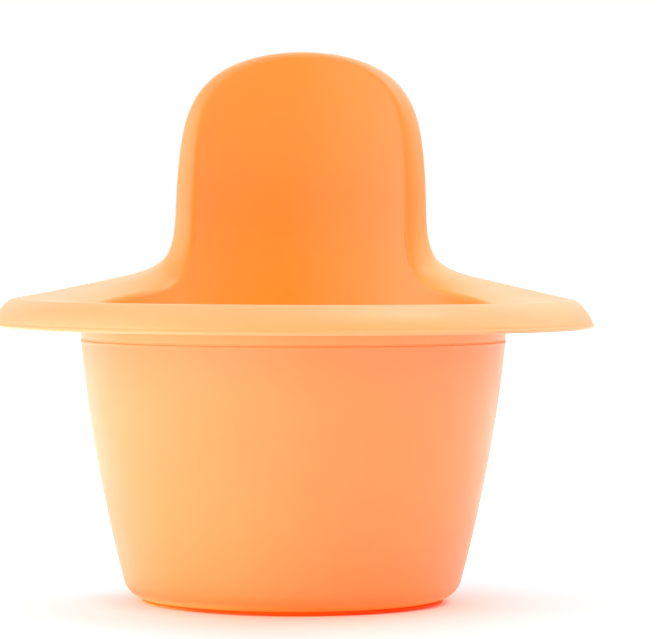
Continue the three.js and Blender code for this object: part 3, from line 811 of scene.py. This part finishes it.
# Light from the floor itself: whether the camera sees it, the side it lies on,
# distances from the axis where it starts and where it is full, colour times strength.
# The rings the camera sees paint light and shade on the floor: dimmest close to the pad,
# brighter outwards, and brighter to the left than to the right; the rest only light the pieces.
FLOOR_GLOW = [
    (True, LEFT, 0.100, 0.062, (0.13, 0.105, 0.12)),
    (True, RIGHT, 0.095, 0.062, (0.05, 0.04, 0.045)),
    (True, LEFT, 0.058, 0.095, (0.342, 0.259, 0.316)),
    (True, RIGHT, 0.058, 0.095, (0.106, 0.065, 0.098)),
    (True, LEFT, 0.095, 0.200, (0.300, 0.195, 0.278)),
    (True, RIGHT, 0.095, 0.200, (0.053, 0.049, 0.045)),
    (True, None, 0.200, 0.500, (0.554, 0.513, 0.470)),
    (False, (-0.8, -0.6, 0), 0.058, 0.100, (0.775, 0.695, 0.717)),
    (False, (0.8, -0.6, 0), 0.058, 0.100, (0.326, 0.005, 0.302)),
]


def floor_material():
    """White sweep with a painted red-orange contact shadow just outside the pad at the front right,
    glowing as in FLOOR_GLOW.
    """
    material = bpy.data.materials.new("floor_white")
    material.use_nodes = True
    tree = material.node_tree
    position = add(tree, "NewGeometry").outputs["Position"]
    distance = add(tree, "VectorMath", {0: position}, operation="LENGTH").outputs["Value"]
    way = add(tree, "VectorMath", {0: position}, operation="NORMALIZE").outputs[0]

    def on_side(side, start=0.0):
        return ramp(tree, vector(tree, "DOT_PRODUCT", way, side, "Value"), start, 1.0)

    # painted contact shadow: the base colour turns red-orange in a thin ring just outside the pad at
    # the front right
    near_pad = ramp(tree, distance, 0.0602, 0.0648, 1.0, 0.0)
    painted_contact_shadow = calc(tree, "MULTIPLY", near_pad, on_side((0.45, -0.893, 0), start=0.35))
    camera_ray = add(tree, "LightPath").outputs["Is Camera Ray"]
    unseen = calc(tree, "SUBTRACT", 1.0, camera_ray)
    parts = []
    for visible, side, start, full, colour in FLOOR_GLOW:
        share = ramp(tree, distance, start, full)
        if side:
            share = calc(tree, "MULTIPLY", share, on_side(side))
        part = scaled(tree, colour, share)
        parts.append(part if visible else scaled(tree, part, unseen))

    shader = tree.nodes["Principled BSDF"]
    for name, value in {
        "Roughness": 0.75,
        "Specular IOR Level": 0.2,
        "Base Color": mixed(tree, (0.91, 0.78, 0.83, 1), (0.84, 0.075, 0.006, 1), painted_contact_shadow),
        "Emission Color": summed(tree, parts),
        "Emission Strength": 1.0,
    }.items():
        feed(tree, shader.inputs[name], value)
    return material


corners = [(-1, -1), (1, -1), (1, 1), (-1, 1)]
floor_mesh = bpy.data.meshes.new("floor")
floor_mesh.from_pydata(
    [(x * FLOOR_HALF, y * FLOOR_HALF, FLOOR_LEVEL) for x, y in corners], [], [(0, 1, 2, 3)])
floor = place("floor", floor_mesh)
floor.data.materials.append(floor_material())

# --------------------------------------------------------------------- world
# Large soft panels far away, as smooth lobes of the surroundings: azimuth (0 is -Y, 90 is +X),
# elevation, outer and inner half-angle, all in degrees; colour times strength.
PANELS = [
    (0, 8, 50, 12, (0.352, 0.326, 0.000)),
    (45, 8, 50, 12, (0.389, 0.360, 0.000)),
    (90, 8, 50, 12, (0.950, 0.879, 0.704)),
    (135, 8, 50, 12, (0.178, 0.134, 0.165)),
    (180, 8, 50, 12, (0.431, 0.350, 0.399)),
    (225, 8, 50, 12, (0.244, 0.210, 0.226)),
    (270, 8, 50, 12, (1.870, 1.732, 1.678)),
    (315, 8, 50, 12, (1.179, 1.092, 0.784)),
    (0, 45, 45, 12, (0.280, 0.259, 0.181)),
    (60, 45, 45, 12, (0.790, 0.731, 0.588)),
    (120, 45, 45, 12, (1.504, 1.311, 1.392)),
    (180, 45, 45, 12, (0.822, 0.761, 0.746)),
    (240, 45, 45, 12, (0.380, 0.297, 0.352)),
    (300, 45, 45, 12, (0.537, 0.497, 0.476)),
    (0, 90, 50, 12, (0.902, 0.702, 0.835)),
    (78, 68, 20, 5, (2.10, 1.90, 2.00)),
]
BACKDROP = 1.02     # strength of the plain white that the camera sees


def studio_world():
    world = bpy.data.worlds.new("studio")
    bpy.context.scene.world = world
    world.use_nodes = True
    tree = world.node_tree
    tree.nodes.clear()
    ray = add(tree, "TexCoord").outputs["Generated"]
    lobes = []
    for azimuth, elevation, outer, inner, colour in PANELS:
        a, e = azimuth * DEG, elevation * DEG
        way = (math.sin(a) * math.cos(e), -math.cos(a) * math.cos(e), math.sin(e))
        closeness = vector(tree, "DOT_PRODUCT", ray, way, "Value")
        share = ramp(tree, closeness, math.cos(outer * DEG), math.cos(inner * DEG))
        lobes.append(scaled(tree, colour, share))
    lit = add(tree, "Background", {"Color": summed(tree, lobes)})
    seen = add(tree, "Background", {"Color": (1, 1, 1, 1), "Strength": BACKDROP})
    camera_ray = add(tree, "LightPath").outputs["Is Camera Ray"]
    pick = add(tree, "MixShader", {0: camera_ray, 1: lit.outputs[0], 2: seen.outputs[0]})
    add(tree, "OutputWorld", {0: pick.outputs[0]})


studio_world()

# -------------------------------------------------------------------- camera
AZIMUTH = 1.95 * DEG            # round from -Y towards +X
DISTANCE, HEIGHT = 1.520, 0.1516
YAW = 0.619675 * DEG            # to the right of the axis
PITCH = 1.469767 * DEG          # down
ROLL = 0.2 * DEG                # right side up
SENSOR, LENS = 36.0, 204.484305


def turned(a, b, angle):
    """a turned towards b, and b turned away from a."""
    return (math.cos(angle) * a + math.sin(angle) * b,
            math.cos(angle) * b - math.sin(angle) * a)


def aim_camera():
    data = bpy.data.cameras.new("camera")
    data.sensor_fit = "HORIZONTAL"
    data.sensor_width = SENSOR
    data.lens = LENS
    data.clip_end = 100
    camera = place("camera", data)
    forward = np.array([-math.sin(AZIMUTH), math.cos(AZIMUTH), 0.0])
    right = np.array([math.cos(AZIMUTH), math.sin(AZIMUTH), 0.0])
    up = np.array([0.0, 0.0, 1.0])
    spot = (DISTANCE * math.sin(AZIMUTH), -DISTANCE * math.cos(AZIMUTH), HEIGHT)
    forward, right = turned(forward, right, YAW)
    forward, up = turned(forward, up, -PITCH)
    right, up = turned(right, up, ROLL)
    rows = [(right[i], up[i], -forward[i], spot[i]) for i in range(3)]
    camera.matrix_world = Matrix(rows + [(0, 0, 0, 1)])
    bpy.context.scene.camera = camera


aim_camera()
bpy.context.scene.view_settings.view_transform = "Standard"
bpy.context.scene.view_settings.look = "None"
